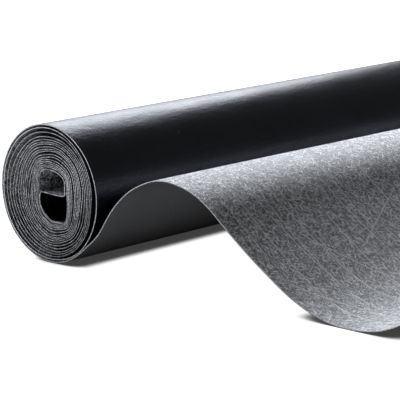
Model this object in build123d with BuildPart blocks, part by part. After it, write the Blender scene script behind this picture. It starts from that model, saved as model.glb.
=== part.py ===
from build123d import *
import os
from math import cos, radians, sin

os.makedirs("parts", exist_ok=True)

# A roll of root barrier: one long strip of stiff coated sheet, wound up on
# itself and lying on its side. +Y runs along the roll, +Z is up, and the loose
# end of the strip springs away towards +X. The origin is on the floor, under
# the middle of the whole piece. Lengths are in millimetres.

# the stock
sheet_width = 700.0
sheet_thickness = 1.0
roll_radius = 60.0

# the first layer round the hole, as distances of its middle from the roll's axis
hole_right = 21.5
hole_left = 12.0
hole_top = 21.4
hole_bottom = 24.5

# the packed layers, and the slack that is left between them and the outer turn
winding_layers = 17
slack_right = 4.6
slack_left = 1.2
slack_top = 2.0
slack_bottom = 1.0
layer_clearance = 0.3

# the inner end of the strip, folded across the hole and down its far wall
crossing_height = 0.3
fold_radius = 1.5
tail_angle = 115.0

# the loose outer end, from where it leaves the roll to its cut edge
tuck_angle = 30.0
root_angle = 40.0
crest_reach = 138.6
crest_height = 88.2
touch_reach = 320.0
tip_reach = 390.0
tip_height = 24.0
tip_angle = 29.0

# how far the gaps between the turns run in from each end
turn_depth = 7.0


# The middle of the strip is drawn around the roll's axis, as seen on its near
# end: x to the side of the loose end, y upwards, running outwards.
half_sheet = sheet_thickness / 2
floor_level = -roll_radius
layer_step = sheet_thickness + layer_clearance
outer_path = roll_radius - half_sheet
tucked_path = outer_path - layer_step / 2
root_path = outer_path + layer_step / 2


def layer(at_hole, at_pack, number):
    """A distance of the winding, stepped evenly from the hole's layer out to the last one."""
    return at_hole + (at_pack - at_hole) * number / (winding_layers - 1)


def right_of_layer(number):
    return layer(hole_right, tucked_path - sheet_thickness - slack_right, number)


def left_of_layer(number):
    return -layer(hole_left, outer_path - sheet_thickness - slack_left, number)


def top_of_layer(number):
    return layer(hole_top, outer_path - sheet_thickness - slack_top, number)


def bottom_of_layer(number):
    return -layer(hole_bottom, outer_path - layer_step - slack_bottom, number)


def upper_bend(number):
    """Centre and radius of a layer's half round over the top, from right to left."""
    radius = (right_of_layer(number) - left_of_layer(number)) / 2
    return Vector(right_of_layer(number) - radius, top_of_layer(number) - radius), radius


def lower_bend(number):
    """Centre and radius of the half round under the bottom, from left to the next right."""
    radius = (right_of_layer(number + 1) - left_of_layer(number)) / 2
    return Vector(left_of_layer(number) + radius, bottom_of_layer(number) + radius), radius


def draw_arch(number):
    """A layer's half round over the top, and its left side down to the lower bend."""
    centre, radius = upper_bend(number)
    over = CenterArc(centre, radius, 0, 180)
    Line(over @ 1, (left_of_layer(number), lower_bend(number)[0].Y))


def draw_trough(number):
    """A layer's half round under the bottom, and the next layer's right side."""
    centre, radius = lower_bend(number)
    under = CenterArc(centre, radius, 180, 180)
    Line(under @ 1, (right_of_layer(number + 1), upper_bend(number + 1)[0].Y))


def smooth(*points, headings):
    """A smooth line through the points that starts and ends in the given headings."""
    return Spline(*points, tangents=headings, tangent_scalars=(1, 1))


def between(start, end, shape):
    """Points at shares of the way across and of the way up from start to end."""
    reach = end - start
    return [start + Vector(reach.X * across, reach.Y * up) for across, up in shape]


# the inner end: a tail up the hole's left wall, a fold, a crossing, a fold up the right wall
last_layer = winding_layers - 1
first_bend, first_bend_radius = lower_bend(0)
last_bend, last_bend_radius = lower_bend(last_layer)
wall_side = left_of_layer(0) + layer_step

with BuildLine() as inner_end:
    tail = CenterArc(first_bend, first_bend_radius - layer_step, 180 + tail_angle, -tail_angle)
    wall = Line(tail @ 1, (wall_side, crossing_height - fold_radius))
    left_fold = JernArc(wall @ 1, (0, 1), fold_radius, -90)
    crossing = Line(left_fold @ 1, (hole_right - fold_radius, crossing_height))
    right_fold = JernArc(crossing @ 1, (1, 0), fold_radius, 90)
    Line(right_fold @ 1, (hole_right, upper_bend(0)[0].Y))

with BuildLine() as winding:
    for number in range(last_layer):
        draw_arch(number)
        draw_trough(number)
    draw_arch(last_layer)
    pack_end = CenterArc(last_bend, last_bend_radius, 180, 90)

# the loose outer end leaves the roll, arches over and comes down to lie on the floor
crest = Vector(crest_reach, floor_level + crest_height)
touch = Vector(touch_reach, floor_level + half_sheet)
tip = Vector(tip_reach, floor_level + tip_height)
tip_heading = (cos(radians(tip_angle)), sin(radians(tip_angle)))
rise_shape = [(0.20, 0.24), (0.36, 0.50), (0.50, 0.69), (0.72, 0.90)]
fall_shape = [(0.20, 0.10), (0.38, 0.38), (0.61, 0.70), (0.82, 0.93)]

with BuildLine() as loose_end:
    right_side = CenterArc((0, layer_step / 2), tucked_path, tuck_angle - 90, 180 - tuck_angle)
    smooth(pack_end @ 1, right_side @ 0, headings=((1, 0), right_side % 0))
    CenterArc((0, 0), outer_path, 90, 180)
    root = CenterArc((0, layer_step / 2), root_path, -90, root_angle)
    smooth(root @ 1, *between(root @ 1, crest, rise_shape), crest, headings=(root % 1, (1, 0)))
    smooth(crest, *between(crest, touch, fall_shape), touch, headings=((1, 0), (1, 0)))
    curl = smooth(touch, tip, headings=((1, 0), tip_heading))


def beside(stretch, share, side):
    """A point on the strip's left face (1) or right face (-1), at a share of a stretch."""
    along = stretch % share
    return stretch @ share + Vector(-along.Y, along.X) * half_sheet * side


def draw_faces(stretch):
    """Both faces of the strip along a stretch of its middle line."""
    spans = {GeomType.LINE: 1, GeomType.CIRCLE: 2}.get(stretch.geom_type, 16)
    for side in (1, -1):
        points = [beside(stretch, k / spans, side) for k in range(spans + 1)]
        if spans == 1:
            Line(*points)
        elif spans == 2:
            ThreePointArc(*points)
        else:
            smooth(*points, headings=(stretch % 0, stretch % 1))


with BuildSketch() as strip_section:
    with BuildLine():
        for stretch in (*inner_end.edges(), *winding.edges(), *loose_end.edges()):
            draw_faces(stretch)
        Line(beside(tail, 0, 1), beside(tail, 0, -1))
        Line(beside(curl, 1, 1), beside(curl, 1, -1))
    make_face()

# behind the ends the layers lie tight, so there the pack is solid out to its last turn
with BuildSketch() as pack_section:
    with BuildLine():
        previous_bend, previous_radius = lower_bend(last_layer - 1)
        turn_start = CenterArc(previous_bend, previous_radius, 270, 90)
        Line(turn_start @ 1, (right_of_layer(last_layer), upper_bend(last_layer)[0].Y))
        draw_arch(last_layer)
        turn_end = CenterArc(last_bend, last_bend_radius, 180, 90)
        Line(turn_end @ 1, turn_start @ 0)
    make_face()
    with BuildLine():
        draw_arch(0)
        under = CenterArc(first_bend, first_bend_radius, 180, 180)
        Polyline(under @ 1, (right_of_layer(1), upper_bend(0)[0].Y), (hole_right, upper_bend(0)[0].Y))
    make_face(mode=Mode.SUBTRACT)

section_box = strip_section.sketch.bounding_box()
middle = (section_box.min.X + section_box.max.X) / 2
near_end = Plane(
    origin=(-middle, -sheet_width / 2, -floor_level),
    x_dir=(1, 0, 0),
    z_dir=(0, -1, 0),
)

with BuildPart() as barrier_roll:
    with BuildSketch(near_end):
        add(strip_section.sketch)
    extrude(amount=-sheet_width)
    with BuildSketch(near_end.offset(-turn_depth)):
        add(pack_section.sketch)
    extrude(amount=-(sheet_width - 2 * turn_depth))

barrier_roll.part.label = "barrier_roll"
export_step(barrier_roll.part, "parts/barrier_roll.step")

strip_length = sum(edge.length for edge in (*inner_end.edges(), *winding.edges(), *loose_end.edges()))
print("strip length", round(strip_length, 1))
print("roll axis at x", round(-middle, 2), "and z", roll_radius)
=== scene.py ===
from math import cos, pi, radians, sin

import bpy
import numpy as np
from mathutils import Matrix, Vector


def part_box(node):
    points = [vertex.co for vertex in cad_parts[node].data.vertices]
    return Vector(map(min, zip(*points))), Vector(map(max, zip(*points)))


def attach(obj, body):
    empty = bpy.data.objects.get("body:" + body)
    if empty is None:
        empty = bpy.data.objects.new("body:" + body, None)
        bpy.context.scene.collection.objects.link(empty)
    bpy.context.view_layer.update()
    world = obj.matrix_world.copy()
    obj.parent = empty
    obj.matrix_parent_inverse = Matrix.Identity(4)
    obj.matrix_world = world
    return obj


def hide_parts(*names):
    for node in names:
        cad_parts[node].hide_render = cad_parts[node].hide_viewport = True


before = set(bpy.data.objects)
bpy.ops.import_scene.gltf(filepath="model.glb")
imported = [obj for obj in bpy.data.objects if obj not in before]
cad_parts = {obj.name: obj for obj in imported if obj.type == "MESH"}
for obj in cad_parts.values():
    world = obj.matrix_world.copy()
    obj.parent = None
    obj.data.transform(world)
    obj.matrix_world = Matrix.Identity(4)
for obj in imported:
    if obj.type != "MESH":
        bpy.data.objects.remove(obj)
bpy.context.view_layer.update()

# The root barrier is one strip of stiff fleece coated with black film, wound up
# on itself and lying on its side. The roll's axis runs along Y, and the strip's
# section is drawn in millimetres from that axis, as its near end shows it.
low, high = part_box("barrier_roll")
millimetre = 0.001
roll_radius = high.z / 2 / millimetre
axis_x = low.x + high.z / 2
strip_start = low.y
strip_width = high.y - low.y
sheet_thickness = 1.0
half_sheet = sheet_thickness / 2


def spline(knots, values, at):
    """The natural cubic spline through values at the knots, read at other places."""
    knots, values, at = (np.asarray(each, float) for each in (knots, values, at))
    steps = np.diff(knots)
    slopes = np.diff(values, axis=0) / steps.reshape((-1,) + (1,) * (values.ndim - 1))
    system = np.diag(np.r_[1.0, 2 * (steps[:-1] + steps[1:]), 1.0])
    inner = np.arange(1, len(knots) - 1)
    system[inner, inner - 1] = steps[:-1]
    system[inner, inner + 1] = steps[1:]
    bends = np.zeros_like(values)
    bends[1:-1] = 6 * np.diff(slopes, axis=0)
    bends = np.linalg.solve(system, bends)
    span = np.clip(np.searchsorted(knots, at) - 1, 0, len(steps) - 1)
    width = steps[span]
    left = (knots[span + 1] - at) / width
    right = (at - knots[span]) / width
    if values.ndim > 1:
        width, left, right = width[:, None], left[:, None], right[:, None]
    return (
        left * values[span]
        + right * values[span + 1]
        + ((left**3 - left) * bends[span] + (right**3 - right) * bends[span + 1]) * width**2 / 6
    )


def smooth_line(points, spacing=0.25):
    """Closely spaced points on a smooth line through the given ones."""
    points = np.asarray(points, float)
    reach = np.r_[0, np.cumsum(np.hypot(*np.diff(points, axis=0).T))]
    return spline(reach, points, np.arange(0, reach[-1], spacing))


# The folded inner end: a tail that lies in the bottom of the hole, a fold, a
# crossing through the middle of the hole, and a second fold up the right wall.
folded_end = smooth_line(
    [
        (15.0, -22.8),
        (6.0, -23.2),
        (0.6, -21.8),
        (-2.9, -19.3),
        (-6.7, -16.3),
        (-9.1, -12.8),
        (-10.6, -8.6),
        (-10.8, -4.3),
        (-10.4, -1.8),
        (-9.6, -0.3),
        (-8.4, 0.4),
        (-5.6, 0.5),
        (-1.7, 0.3),
        (6.0, -0.2),
        (13.7, -0.3),
        (17.4, -0.2),
        (19.2, 0.2),
        (20.3, 1.0),
        (20.7, 2.2),
        (20.9, 4.3),
    ]
)

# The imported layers, as distances of the sheet from the axis in degrees turned
# from the right: the layer round the hole, and the last layer before the slack.
hole_layer = [
    (12, 21.2),
    (24, 22.7),
    (38, 24.5),
    (52, 23.4),
    (64, 22.5),
    (78, 21.6),
    (92, 21.4),
    (104, 21.4),
    (112, 21.0),
    (120, 19.6),
    (131, 17.0),
    (150, 13.9),
    (165, 12.6),
    (180, 12.2),
    (199, 13.0),
    (215, 14.9),
    (231, 17.0),
    (244, 19.0),
    (258, 20.9),
    (270, 23.4),
    (284, 25.3),
    (302, 28.6),
    (312, 29.7),
    (322, 28.0),
    (336, 25.0),
    (348, 23.6),
]
outer_layer = [
    (0, 53.3),
    (30, 54.4),
    (60, 56.0),
    (90, 56.6),
    (135, 56.8),
    (180, 57.3),
    (225, 57.6),
    (270, 57.2),
    (300, 56.4),
    (330, 55.6),
]
layer_gaps = 16
closest_gap = 1.14
closest_share = 0.9
least_spread = 0.05
most_spread = 0.6
layer_lean = 0.6
outward_slack = 0.16
wide_gap = 1.9
narrow_gap = 0.7
angle_step = 0.4
pack_start = 4.0
pack_end = 360.0 * layer_gaps + 270.0
random = np.random.default_rng(7)


def round_the_roll(keys, degrees):
    """A distance that repeats every turn, read between the keys."""
    turns = np.concatenate([np.array(keys, float) + (360.0 * turn, 0) for turn in (-1, 0, 1)])
    return spline(turns[:, 0], turns[:, 1], degrees % 360)


def uneven_gaps(degrees, mean_step):
    """How wide each gap between layers is at an angle, against the mean gap."""
    angle = np.radians(degrees)
    gaps = []
    spread = np.clip(1 - closest_gap / (closest_share * mean_step), least_spread, most_spread)
    for trend in np.linspace(-outward_slack, outward_slack, layer_gaps + 1):
        wave = np.full(len(degrees), layer_lean * random.normal())
        for ripple in (1, 2, 3, 5):
            wave += random.normal() * np.cos(ripple * angle + random.uniform(0, 2 * pi)) / ripple
        wave = np.tanh(wave)
        gaps.append((1 + trend) * (1 + spread * np.where(wave > 0, wide_gap, narrow_gap) * wave))
    gaps[0] = np.mean(gaps[1:layer_gaps], axis=0)
    return np.array(gaps)


degrees = np.arange(pack_start, pack_end, angle_step)
part_turned = (degrees % 360) / 360
whole_turns = np.floor(degrees / 360).astype(int)
hole_angles, hole_distances = np.array(hole_layer, float).T
one_step = (round_the_roll(outer_layer, hole_angles) - hole_distances) / layer_gaps
step_keys = list(zip(hole_angles, one_step))
first_keys = list(zip(hole_angles, hole_distances - one_step * hole_angles / 360))
gaps = uneven_gaps(degrees, round_the_roll(step_keys, degrees))
passed = np.cumsum(gaps, axis=0) - gaps
place = np.arange(len(degrees))
layers_out = passed[whole_turns, place] + part_turned * gaps[whole_turns, place]
layers_out *= layer_gaps / gaps[:layer_gaps].sum(axis=0)
distance = round_the_roll(first_keys, degrees) + round_the_roll(step_keys, degrees) * layers_out
packed = np.c_[distance * np.cos(np.radians(degrees)), distance * np.sin(np.radians(degrees))]

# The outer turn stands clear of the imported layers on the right, and is tucked
# under the strip where that leaves the roll.
outer_keys = np.array(
    [
        (270, 57.2),
        (284, 57.5),
        (300, 58.25),
        (330, 58.5),
        (360, 58.85),
        (405, 59.25),
        (450, 59.5),
        (540, 59.5),
        (630, 59.5),
        (650, 59.55),
        (668, 59.6),
    ]
)
join_angle = 3
outer_degrees = np.arange(outer_keys[0, 0] + join_angle, outer_keys[-1, 0], angle_step)
outer_distance = spline(outer_keys[:, 0], outer_keys[:, 1], outer_degrees)
outer_turn = np.c_[
    outer_distance * np.cos(np.radians(outer_degrees)),
    outer_distance * np.sin(np.radians(outer_degrees)),
]

# The loose outer end springs away from the roll, arches over, comes down to lie
# on the floor and curls up again to its cut edge.
lead_in = 12
loose_end = smooth_line(
    [
        tuple(outer_turn[-lead_in]),
        tuple(outer_turn[-1]),
        (48.6, -37.6),
        (58.4, -28.8),
        (66.8, -17.8),
        (73.6, -8.2),
        (81.5, 0.8),
        (92.0, 10.4),
        (103.4, 17.9),
        (115.8, 23.7),
        (127.0, 27.1),
        (138.6, 28.2),
        (150.7, 27.1),
        (162.0, 24.5),
        (174.7, 19.3),
        (187.0, 11.6),
        (199.0, 1.9),
        (213.0, -8.8),
        (229.2, -20.4),
        (249.1, -33.3),
        (268.9, -45.0),
        (287.0, -52.9),
        (303.0, -57.6),
        (320.0, -59.5),
        (334.0, -59.2),
        (349.0, -57.4),
        (361.0, -53.9),
        (374.2, -47.7),
        (390.0, -36.0),
    ]
)
loose_end = loose_end[lead_in:]
loose_end[:, 1] = np.maximum(loose_end[:, 1], half_sheet - roll_radius)

# The whole strip's middle line, from its inner end to its loose one, rounded
# where two stretches meet, and with more stations where it bends more.
shortest_gap = 0.02
sample_step = 0.2
rounding_samples = 9
bend_samples = 21
flattest_bend = 1e-4
chord_error = 0.035
shortest_step = 0.45
longest_step = 5.0
middle = np.concatenate([folded_end, packed, outer_turn, loose_end])
keep = np.r_[True, np.hypot(*np.diff(middle, axis=0).T) > shortest_gap]
middle = middle[keep]
along = np.r_[0, np.cumsum(np.hypot(*np.diff(middle, axis=0).T))]
even = np.arange(0, along[-1], sample_step)
even_line = np.c_[np.interp(even, along, middle[:, 0]), np.interp(even, along, middle[:, 1])]
window = np.hanning(rounding_samples) / np.hanning(rounding_samples).sum()
for axis in (0, 1):
    padded = np.pad(even_line[:, axis], rounding_samples // 2, mode="reflect", reflect_type="odd")
    even_line[:, axis] = np.convolve(padded, window, mode="valid")
heading = np.unwrap(np.arctan2(*np.gradient(even_line, axis=0).T[::-1]))
bend = np.abs(np.gradient(heading, even))
bend = np.pad(bend, bend_samples // 2, mode="edge")
bend = np.convolve(bend, np.ones(bend_samples) / bend_samples, mode="valid")
station_step = np.sqrt(8 * chord_error / np.maximum(bend, flattest_bend))
station_step = np.clip(station_step, shortest_step, longest_step)
share = np.cumsum(sample_step / station_step)
stations = int(share[-1]) + 1
station_at = np.interp(np.linspace(share[0], share[-1], stations), share, even)
centre = np.c_[np.interp(station_at, even, even_line[:, 0]), np.interp(station_at, even, even_line[:, 1])]
facing = np.interp(station_at, even, heading)
inward = np.c_[-np.sin(facing), np.cos(facing)]
strip_length = along[-1]

# Across its width the strip is straight, apart from ends that don't quite line
# up from turn to turn, and an arch that sags a little towards the far end.
across = np.array([0, 1.5, 6, 20, 60, 120, 190, 260, 330, 400, 480, 560, 640, 680, 694, 698.5, 700.0])
across *= strip_width / millimetre / across[-1]
end_raggedness = 0.7
ragged_waves = (90, 210, 370, 640)
ragged_fade = 20
arch_sag = 3.0
sag_reach = 320.0
sag_curve = 1.5
arch_start = 75.0
arch_end = 290.0
loose_length = 520
ragged = np.zeros((2, stations))
for side in ragged:
    for wave in ragged_waves:
        side += random.normal() * np.sin(2 * pi * station_at / wave + random.uniform(0, 2 * pi))
    side -= side.min()
    side *= end_raggedness / side.max()
on_arch = np.clip((centre[:, 0] - arch_start) / (arch_end - arch_start), 0, 1)
on_arch = np.sin(pi * on_arch) ** 2 * (station_at > strip_length - loose_length)

rows = len(across)
points = np.zeros((stations, rows, 2, 3))
for row, reach in enumerate(across):
    from_end = reach / across[-1]
    near_ragged = ragged[0] * max(0, 1 - from_end * ragged_fade)
    far_ragged = ragged[1] * max(0, 1 - (1 - from_end) * ragged_fade)
    sag = arch_sag * np.clip(reach / sag_reach, 0, 1) ** sag_curve * on_arch
    for face, side in enumerate((1, -1)):
        section = centre + inward * half_sheet * side
        points[:, row, face, 0] = axis_x + section[:, 0] * millimetre
        points[:, row, face, 1] = strip_start + (reach + near_ragged - far_ragged) * millimetre
        points[:, row, face, 2] = (section[:, 1] + roll_radius - sag) * millimetre
points[..., 2] = np.maximum(points[..., 2], 0)


def quads(a, b, c, d):
    return np.stack([a, b, c, d], axis=-1).reshape(-1, 4)


number = np.arange(stations * rows * 2).reshape(stations, rows, 2)
inside, outside = number[..., 0], number[..., 1]
fleece_faces = quads(inside[:-1, :-1], inside[1:, :-1], inside[1:, 1:], inside[:-1, 1:])
film_faces = quads(outside[:-1, :-1], outside[:-1, 1:], outside[1:, 1:], outside[1:, :-1])
edge_faces = np.concatenate(
    [
        quads(inside[:-1, 0], outside[:-1, 0], outside[1:, 0], inside[1:, 0]),
        quads(inside[:-1, -1], inside[1:, -1], outside[1:, -1], outside[:-1, -1]),
        quads(inside[0, :-1], inside[0, 1:], outside[0, 1:], outside[0, :-1]),
        quads(inside[-1, :-1], outside[-1, :-1], outside[-1, 1:], inside[-1, 1:]),
    ]
)
faces = np.concatenate([film_faces, fleece_faces, edge_faces])
kinds = np.repeat([0, 1, 2], [len(film_faces), len(fleece_faces), len(edge_faces)])
sharp_corner = radians(50)
sheet_mesh = bpy.data.meshes.new("barrier_sheet")
sheet_mesh.from_pydata(points.reshape(-1, 3).tolist(), [], faces.tolist())
sheet_mesh.polygons.foreach_set("material_index", kinds.astype(np.int32))
sheet_mesh.polygons.foreach_set("use_smooth", np.ones(len(faces), bool))
sheet_mesh.set_sharp_from_angle(angle=sharp_corner)
lay = np.zeros((stations, rows, 2, 3))
lay[..., 0] = station_at[:, None, None]
lay[..., 1] = across[None, :, None]
lay[..., 2] = np.array([half_sheet, -half_sheet])
sheet_mesh.attributes.new("lay", "FLOAT_VECTOR", "POINT").data.foreach_set("vector", lay.ravel())
sheet_mesh.validate()
barrier_sheet = bpy.data.objects.new("barrier_sheet", sheet_mesh)
bpy.context.scene.collection.objects.link(barrier_sheet)
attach(barrier_sheet, "root")
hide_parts("barrier_roll")


# The outer face is a black plastic film, smooth but for a fine grain, dust that
# shows as small pale specks, and light scuffs along the way it was wound.
class Wire:
    """A value on its way through a finish. Arithmetic on it adds the nodes."""

    def __init__(self, finish, socket):
        self.finish = finish
        self.socket = socket

    def math(self, operation, *values):
        return self.finish.node("Math", {"operation": operation}, dict(enumerate(values)))

    def __add__(self, other):
        return self.math("ADD", self, other)

    def __sub__(self, other):
        return self.math("SUBTRACT", self, other)

    def __rsub__(self, other):
        return self.math("SUBTRACT", other, self)

    def __mul__(self, other):
        return self.math("MULTIPLY", self, other)

    def above(self, start, width):
        """0 below start, 1 above start + width, and a straight rise between."""
        sockets = {"Value": self, "From Min": start, "From Max": start + width}
        return self.finish.node("MapRange", {"clamp": True}, sockets)

    __radd__ = __add__
    __rmul__ = __mul__


class Finish:
    """A material, or the light of the room, that is made up node by node."""

    def __init__(self, owner, shader):
        owner.use_nodes = True
        self.owner = owner
        self.tree = owner.node_tree
        self.surface = self.tree.nodes[shader]

    def put(self, socket, value):
        if isinstance(value, Wire):
            self.tree.links.new(value.socket, socket)
        else:
            socket.default_value = value

    def node(self, kind, settings, sockets, output=0):
        made = self.tree.nodes.new("ShaderNode" + kind)
        for setting, value in settings.items():
            setattr(made, setting, value)
        for socket, value in sockets.items():
            self.put(made.inputs[socket], value)
        return Wire(self, made.outputs[output])

    def lay(self):
        """Millimetres along the strip, across it, and through it towards the felted side."""
        place = self.node("Attribute", {"attribute_name": "lay"}, {}, "Vector")
        return [self.node("SeparateXYZ", {}, {0: place}, axis) for axis in (0, 1, 2)]

    def noise(self, across, up, seed, detail=2.0):
        """Soft noise from 0 to 1 on a pair of stretched coordinates."""
        spot = self.node("CombineXYZ", {}, {0: across, 1: up, 2: seed})
        sockets = {"Vector": spot, "Scale": 1.0, "Detail": detail}
        return self.node("TexNoise", {"noise_dimensions": "3D"}, sockets, "Fac")

    def flat_noise(self, spot, detail):
        """Soft noise from 0 to 1 at a place on a plane."""
        sockets = {"Vector": spot, "Scale": 1.0, "Detail": detail}
        return self.node("TexNoise", {"noise_dimensions": "2D"}, sockets, "Fac")

    def off_line(self, along, side, angle):
        """Millimetres to the side of a line through the strip's corner at an angle."""
        return side * cos(radians(angle)) - along * sin(radians(angle))

    def turned(self, along, side, angle, length, spacing):
        """A place on a grid turned by an angle, with cells of that length and that width."""
        run = along * cos(radians(angle)) + side * sin(radians(angle))
        off = self.off_line(along, side, angle)
        return self.node("CombineXYZ", {}, {0: run * (1 / length) + angle, 1: off * (1 / spacing) + spacing})

    def tufts(self, along, side, angle, length, thickness, sparse):
        """Short raised fibres that lie at about one angle, fewer where sparse is higher."""
        return self.flat_noise(self.turned(along, side, angle, length, thickness), 1.0).above(sparse, 0.12)

    def hair_lines(self, along, side, angle, length, spacing, thickness):
        """Straight hair lines at one angle, broken into pieces of about that length."""
        line = self.off_line(along, side, angle) * (1 / spacing) + angle
        cells = {"feature": "F1", "voronoi_dimensions": "1D"}
        from_line = self.node("TexVoronoi", cells, {"W": line, "Scale": 1.0}, "Distance")
        drawn = self.flat_noise(self.turned(along, side, angle, length, 2.0), 0.0).above(0.5, 0.12)
        return (1 - from_line * (2 * spacing / thickness)).above(0, 0.6) * drawn

    def blend(self, amount, first, second):
        sockets = {0: amount, 6: (*first, 1) if isinstance(first, tuple) else first, 7: (*second, 1)}
        return self.node("Mix", {"data_type": "RGBA"}, sockets, 2)

    def coat(self, colour, roughness, height):
        """The surface's colour and roughness, and its relief in millimetres."""
        self.put(self.surface.inputs["Base Color"], colour)
        self.put(self.surface.inputs["Roughness"], roughness)
        relief = self.node("Bump", {}, {"Height": height, "Strength": 1.0, "Distance": millimetre})
        self.put(self.surface.inputs["Normal"], relief)


film = Finish(bpy.data.materials.new("black film"), "Principled BSDF")
film_black = (0.0040, 0.0045, 0.0062)
film_dusty = (0.0085, 0.0092, 0.0125)
speck_pale = (0.50, 0.50, 0.53)
specks_per_millimetre = 0.07
speck_start = 0.955
along, side = film.lay()[:2]
cloud = film.noise(along * 0.012, side * 0.02, 1.0, 4.0).above(0.35, 0.35)
grain = film.noise(along * 0.4, side * 0.4, 2.0, 3.0)
crinkle = film.noise(along * 0.16, side * 0.09, 3.0, 3.0)
ripple = film.noise(along * 0.02, side * 0.010, 4.0, 2.0)
scuffs = film.hair_lines(along, side, 6, 40, 17, 0.8)
dust_along = along * specks_per_millimetre
dust_side = side * specks_per_millimetre
dust = film.node("CombineXYZ", {}, {0: dust_along, 1: dust_side, 2: 0.0})
dot = film.node("TexVoronoi", {"feature": "F1"}, {"Vector": dust, "Scale": 1.0}, "Distance")
dusty = film.noise(along * 0.05, side * 0.05, 7.0).above(0.48, 0.1)
specks = (1 - dot).above(speck_start, 0.02) * dusty
film_colour = film.blend(cloud * 0.6, film_black, film_dusty)
film_colour = film.blend(scuffs * 0.25, film_colour, film_dusty)
film_colour = film.blend(specks * 0.8, film_colour, speck_pale)
film_roughness = 0.22 + grain * 0.16 + cloud * 0.07 + specks * 0.3
film.coat(film_colour, film_roughness, grain * 0.35 + crinkle * 0.3 + ripple * 1.2)
film.surface.inputs["Specular IOR Level"].default_value = 0.55
film.surface.inputs["Specular Tint"].default_value = (0.80, 0.85, 1.0, 1)

# The inner face is the fleece that the film is bonded to: grey felted fibres
# that lie every way, with long filaments, most of them along the strip.
fleece = Finish(bpy.data.materials.new("grey fleece"), "Principled BSDF")
fleece_dark = (0.008, 0.008, 0.009)
fibre_pale = (0.98, 0.98, 0.99)
matted_angles = (38, 127)
raised_angles = (12, 47, 80, 118, 155)
filament_spacings = {2: 21, -3: 26, 6: 33, 33: 59, 118: 67}
filament_length = 130
filament_thickness = 1.5
along, side = fleece.lay()[:2]
patches = fleece.noise(along * 0.03, side * 0.03, 2.0, 3.0).above(0.35, 0.3)
matted = sum(fleece.tufts(along, side, angle, 4.5, 2.4, 0.46) * 0.5 for angle in matted_angles)
raised = sum(fleece.tufts(along, side, angle, 10, 1.3, 0.60) for angle in raised_angles)
felted = matted * 0.16 + raised * (matted * 0.5 + 0.45) + 0.01
filaments = sum(
    fleece.hair_lines(along, side, angle, filament_length, spacing, filament_thickness)
    for angle, spacing in filament_spacings.items()
)
fleece_colour = fleece.blend((felted * (patches * 0.25 + 0.8)).above(0, 1), fleece_dark, fibre_pale)
fleece_colour = fleece.blend((filaments * 0.8).above(0, 1), fleece_colour, fibre_pale)
fleece.coat(fleece_colour, 0.6, felted * 0.5 + filaments * 0.5)
fleece.surface.inputs["Specular IOR Level"].default_value = 0.2
fleece.surface.inputs["Sheen Weight"].default_value = 0.6
fleece.surface.inputs["Sheen Roughness"].default_value = 0.45

# The cut edges show both sides of the sheet, black film and pale fleece. They are
# palest on the outer turns, and a pool of light is painted on the near end beside the hole.
cut_edge = Finish(bpy.data.materials.new("cut edge"), "Principled BSDF")
edge_black = (0.010, 0.010, 0.012)
edge_dull = (0.30, 0.30, 0.306)
edge_pale = (0.98, 0.98, 0.99)
outer_turns = 1100.0
outer_fade = 200.0
inner_turns = 600.0
# A painted pool of light on the near end, up and to the right of the hole.
painted_light_place = (axis_x + 0.030, strip_start, high.z / 2 + 0.012)
painted_light_radius = 0.006
painted_light_fade = 0.022
along, side, depth = cut_edge.lay()
frayed = cut_edge.noise(along * 0.8, side * 0.8, 1.0, 4.0)
mottled = cut_edge.noise(along * 0.12, side * 0.12, 2.0, 4.0).above(0.42, 0.16)
outermost = along.above(strip_length - outer_turns, outer_fade)
inmost = 1 - along.above(inner_turns, outer_turns)
spot = cut_edge.node("NewGeometry", {}, {}, "Position")
off_painted_light = cut_edge.node("VectorMath", {"operation": "DISTANCE"}, {0: spot, 1: painted_light_place}, "Value")
painted_light = 1 - off_painted_light.above(painted_light_radius, painted_light_fade)
# The painted pool of light also shows more of the pale side of each edge there.
felt_and_painted_light = (depth + (frayed - 0.5) * 2.0 + outermost * 0.25 + painted_light * 0.2).above(-0.02, 0.12)
worn_and_painted_light = outermost + inmost * 0.1 + mottled * 0.9
# Painted light: the speckled pool beside the hole is added to the edges' own paleness.
worn_and_painted_light = worn_and_painted_light + painted_light * (frayed.above(0.48, 0.08) * 2.0)
edge_colour = cut_edge.blend(worn_and_painted_light.above(0, 1), edge_dull, edge_pale)
edge_colour = cut_edge.blend(1 - felt_and_painted_light, edge_colour, edge_black)
cut_edge.coat(edge_colour, 0.75, frayed * 0.2)

for finish in (film, fleece, cut_edge):
    sheet_mesh.materials.append(finish.owner)

# The floor is plain and pale. It shows as white round the roll, and the roll's
# shadow is painted into what the camera sees of it, except to the left of the near end.
floor_reach = 8.0
floor_drop = 0.0002
corners = [
    (-floor_reach, -floor_reach, 0),
    (floor_reach, -floor_reach, 0),
    (floor_reach, floor_reach, 0),
    (-floor_reach, floor_reach, 0),
]
floor_mesh = bpy.data.meshes.new("floor")
floor_mesh.from_pydata(corners, [], [(0, 1, 2, 3)])
floor = bpy.data.objects.new("floor", floor_mesh)
floor.location.z = -floor_drop
bpy.context.scene.collection.objects.link(floor)
pale = Finish(bpy.data.materials.new("pale floor"), "Principled BSDF")
pale_lit = (0.55, 0.55, 0.55)
pale_seen = (0.22, 0.22, 0.22)
no_glow = (0, 0, 0)
full_glow = (1, 1, 1)
painted_shadow_reach = 0.016
painted_mirror_shade_reach = 0.07
seen = pale.node("LightPath", {}, {}, "Is Camera Ray")
glossed = pale.node("LightPath", {}, {}, "Is Glossy Ray")
# Painted shadow: what the camera sees of the floor is darkened by ambient occlusion close to the roll.
out_of_painted_shadow = pale.node("AmbientOcclusion", {"samples": 16}, {"Distance": painted_shadow_reach}, "AO")
out_of_painted_shadow = out_of_painted_shadow.above(0.34, 0.34)
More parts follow.
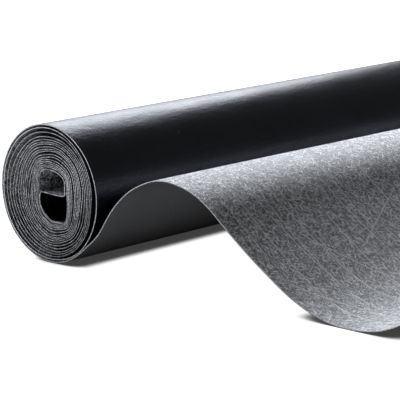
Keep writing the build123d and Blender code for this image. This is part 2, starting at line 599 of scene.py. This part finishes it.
# Painted shade in what the film mirrors of the floor: darker under things close above it, and darker further
# from the near end.
out_of_painted_mirror_shade = pale.node("AmbientOcclusion", {"samples": 8}, {"Distance": painted_mirror_shade_reach}, "AO")
out_of_painted_mirror_shade = out_of_painted_mirror_shade.above(0.15, 0.65)
spot = pale.node("NewGeometry", {}, {}, "Position")
from_left = pale.node("SeparateXYZ", {}, {0: spot}, 0)
from_end = pale.node("SeparateXYZ", {}, {0: spot}, 1)
painted_mirror_shade_depth = from_end.above(strip_start + 0.02, 0.32)
# The painted shadow is left out to the left of the roll at its near end.
left_of_roll = 1 - from_left.above(axis_x - 0.035, 0.03)
left_of_roll = left_of_roll * (1 - from_end.above(strip_start, 0.06))
seen_with_painted_shadow = (out_of_painted_shadow + left_of_roll).above(-0.05, 1.05)
mirrored_with_painted_shade = out_of_painted_mirror_shade * (1 - painted_mirror_shade_depth * 0.85) * 0.9
glow = seen * seen_with_painted_shadow + glossed * mirrored_with_painted_shade
pale.put(pale.surface.inputs["Base Color"], pale.blend(seen, pale_lit, pale_seen))
pale.put(pale.surface.inputs["Roughness"], 0.9)
pale.put(pale.surface.inputs["Specular IOR Level"], 0.0)
pale.put(pale.surface.inputs["Emission Color"], pale.blend(glow, no_glow, full_glow))
pale.put(pale.surface.inputs["Emission Strength"], 1.0)
floor_mesh.materials.append(pale.owner)

# The room is dim, white only to the camera, and grey in what the film mirrors.
# One strong soft lamp stands up to the left and a little behind, with a pale
# wall of light beside it that the film mirrors, and a weak lamp on the near end.
room = Finish(bpy.data.worlds.new("room"), "Background")
room_dim = 0.014
room_mirrored = 0.098
seen = room.node("LightPath", {}, {}, "Is Camera Ray")
glossed = room.node("LightPath", {}, {}, "Is Glossy Ray")
room.put(room.surface.inputs["Strength"], seen * (1 - room_dim) + room_dim + glossed * room_mirrored)
room.put(room.surface.inputs["Color"], (1, 1, 1, 1))
bpy.context.scene.world = room.owner

lamps = [
    ("left_key", (-1.5, 0.7, 1.10), 0.7, 0.7, 148.0),
    ("pale_wall", (-1.43, 1.05, 1.06), 1.0, 1.1, 18.5),
    ("near_side", (-1.6, -1.2, 0.9), 0.8, 0.8, 12.5),
]
lamp_aim = Vector((0, 0, 0.06))
lamp_colour = (0.91, 0.94, 1.0)
for name, stand, width, height, power in lamps:
    light = bpy.data.lights.new(name, "AREA")
    light.shape = "RECTANGLE"
    light.size = width
    light.size_y = height
    light.energy = power
    light.color = lamp_colour
    lamp = bpy.data.objects.new(name, light)
    lamp.location = stand
    lamp.rotation_euler = (lamp_aim - Vector(stand)).to_track_quat("-Z", "Y").to_euler()
    lamp.visible_camera = False
    lamp.visible_glossy = name == "pale_wall"
    bpy.context.scene.collection.objects.link(lamp)

# The camera looks along the roll from its near end, at the photograph's angle.
# The place it was fitted at is turned about the roll's axis by the small angle
# that brings the loose end down onto the floor.
view_back = Vector((0.6647, -0.7151, 0.2164)).normalized()
view_right = Vector((0.7325, 0.6808, 0)).normalized()
view_up = view_back.cross(view_right)
view_place = Vector((1.1913, -1.0919, 0.3516))
settling_angle = radians(0.8451)
axis_at_near_end = Matrix.Translation((axis_x, strip_start, high.z / 2))
settling_turn = Matrix.Rotation(settling_angle, 4, "Y")
aim = Matrix((view_right, view_up, view_back)).transposed().to_4x4()
camera_data = bpy.data.cameras.new("camera")
camera_data.lens = 174.39
camera_data.sensor_width = 36.0
camera = bpy.data.objects.new("camera", camera_data)
camera.matrix_world = axis_at_near_end @ settling_turn @ Matrix.Translation(view_place) @ aim
bpy.context.scene.collection.objects.link(camera)
bpy.context.scene.camera = camera
bpy.context.scene.view_settings.view_transform = "Standard"
